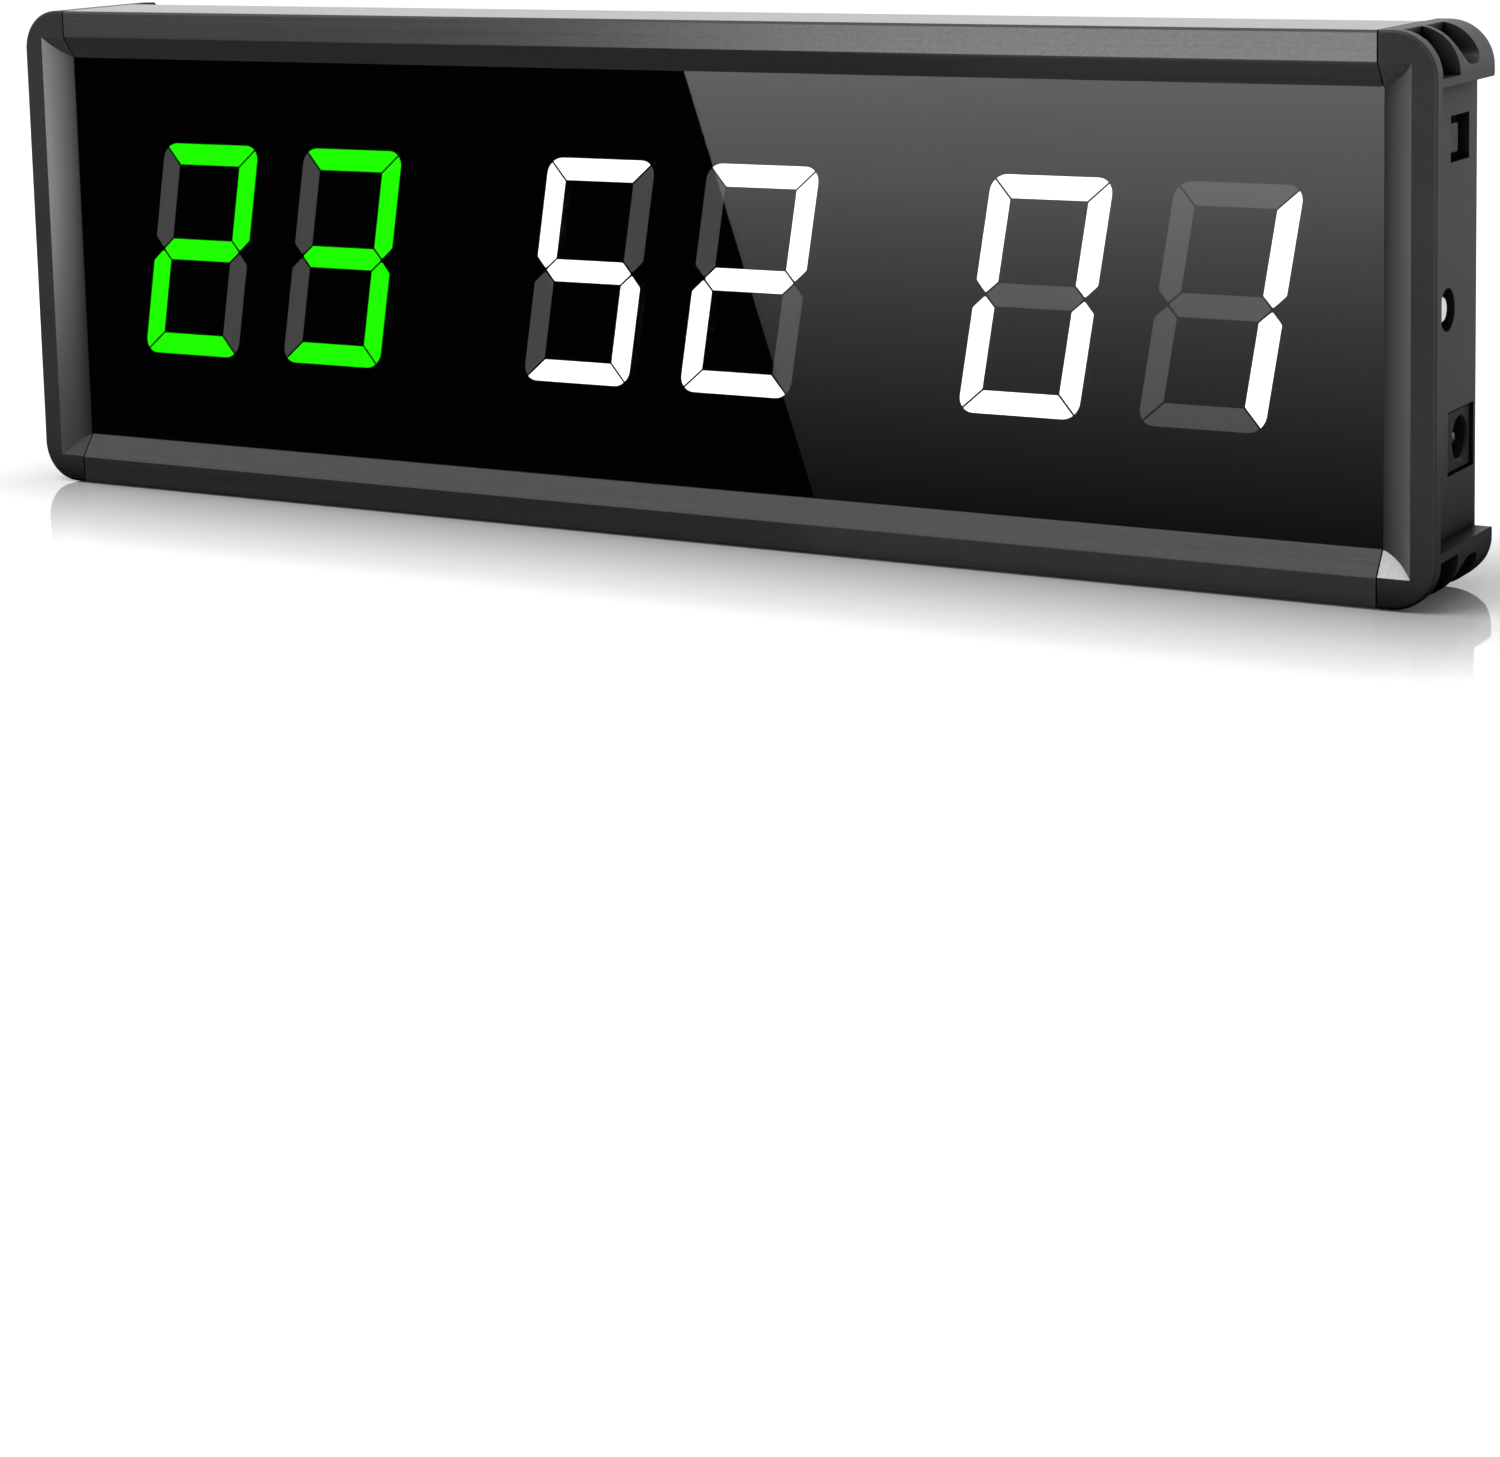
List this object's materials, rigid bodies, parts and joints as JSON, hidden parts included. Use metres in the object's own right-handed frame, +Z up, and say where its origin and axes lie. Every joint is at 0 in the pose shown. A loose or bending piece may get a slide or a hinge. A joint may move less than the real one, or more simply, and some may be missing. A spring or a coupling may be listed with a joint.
{
  "type": "gym round timer",
  "caption": "Slim LED interval timer display in an extruded frame with end caps, smoked lens, keyholed rear panel, power switch, push button and power socket.",
  "frame": {"origin": "middle of the footprint, on the surface the unit stands on", "axes": "+X to the reader's right along the long side, -Y towards the reader (the lens faces -Y), +Z up"},
  "size_m": [0.266, 0.0266, 0.086],
  "materials": {
    "rail_aluminium": "dark grey anodised extrusion with faint lengthwise lines",
    "cap_plastic": "fine textured black-grey ABS",
    "lens_acrylic": "gloss smoked acrylic",
    "panel_metal": "black powder coat, light texture",
    "screw_black": "black zinc",
    "module_plastic": "matt black module face",
    "segment_green": "lit green diffuser",
    "segment_white": "lit white diffuser",
    "segment_off": "unlit milky grey diffuser",
    "pcb_green": "solder-masked glass epoxy",
    "chip_black": "moulded epoxy",
    "component_black": "moulded nylon or PBT",
    "contact_metal": "nickel plate",
    "switch_steel": "tinned steel frame",
    "knob_plastic": "dark grey knob",
    "button_white": "white plunger",
    "cell_steel": "nickel-plated coin cell",
    "capacitor_sleeve": "shrink sleeve"
  },
  "bodies": {
    "case": {"top_rail": "rail_aluminium", "bottom_rail": "rail_aluminium", "left_end_cap": "cap_plastic", "right_end_cap": "cap_plastic", "left_cap_screws": "screw_black", "right_cap_screws": "screw_black", "front_lens": "lens_acrylic", "rear_panel": "panel_metal", "rear_panel_screws": "screw_black", "left_digit_module": "module_plastic", "middle_digit_module": "module_plastic", "right_digit_module": "module_plastic", "left_segments_lit": "segment_green", "middle_segments_lit": "segment_white", "right_segments_lit": "segment_white", "left_segments_dark": "segment_off", "middle_segments_dark": "segment_off", "right_segments_dark": "segment_off", "main_board": "pcb_green", "switch_board": "pcb_green", "switch_board_header": "component_black", "power_socket_body": "component_black", "power_socket_pin": "contact_metal", "power_socket_contact": "contact_metal", "slide_switch_frame": "switch_steel", "slide_switch_base": "component_black", "button_base": "component_black", "button_cover_plate": "switch_steel", "button_dome": "contact_metal", "ir_receiver": "chip_black", "buzzer": "component_black", "controller_chip": "chip_black", "led_driver_chips": "chip_black", "clock_chip": "chip_black", "clock_crystal": "cell_steel", "coin_cell_holder": "component_black", "coin_cell": "cell_steel", "voltage_regulator": "chip_black", "power_inductor": "component_black", "electrolytic_capacitors": "capacitor_sleeve"},
    "power_knob": {"slide_switch_knob": "knob_plastic"},
    "button": {"button_plunger": "button_white"}
  },
  "joints": [
    {"name": "power_switch_slide", "type": "slide", "parent": "case", "child": "power_knob", "axis": [0, 1, 0], "range_m": [0, 0.004]},
    {"name": "button_press", "type": "slide", "parent": "case", "child": "button", "axis": [-1, 0, 0], "range_m": [0, 0.0003], "stiffness_N_per_m": 2500, "springref_m": -0.0002}
  ]
}
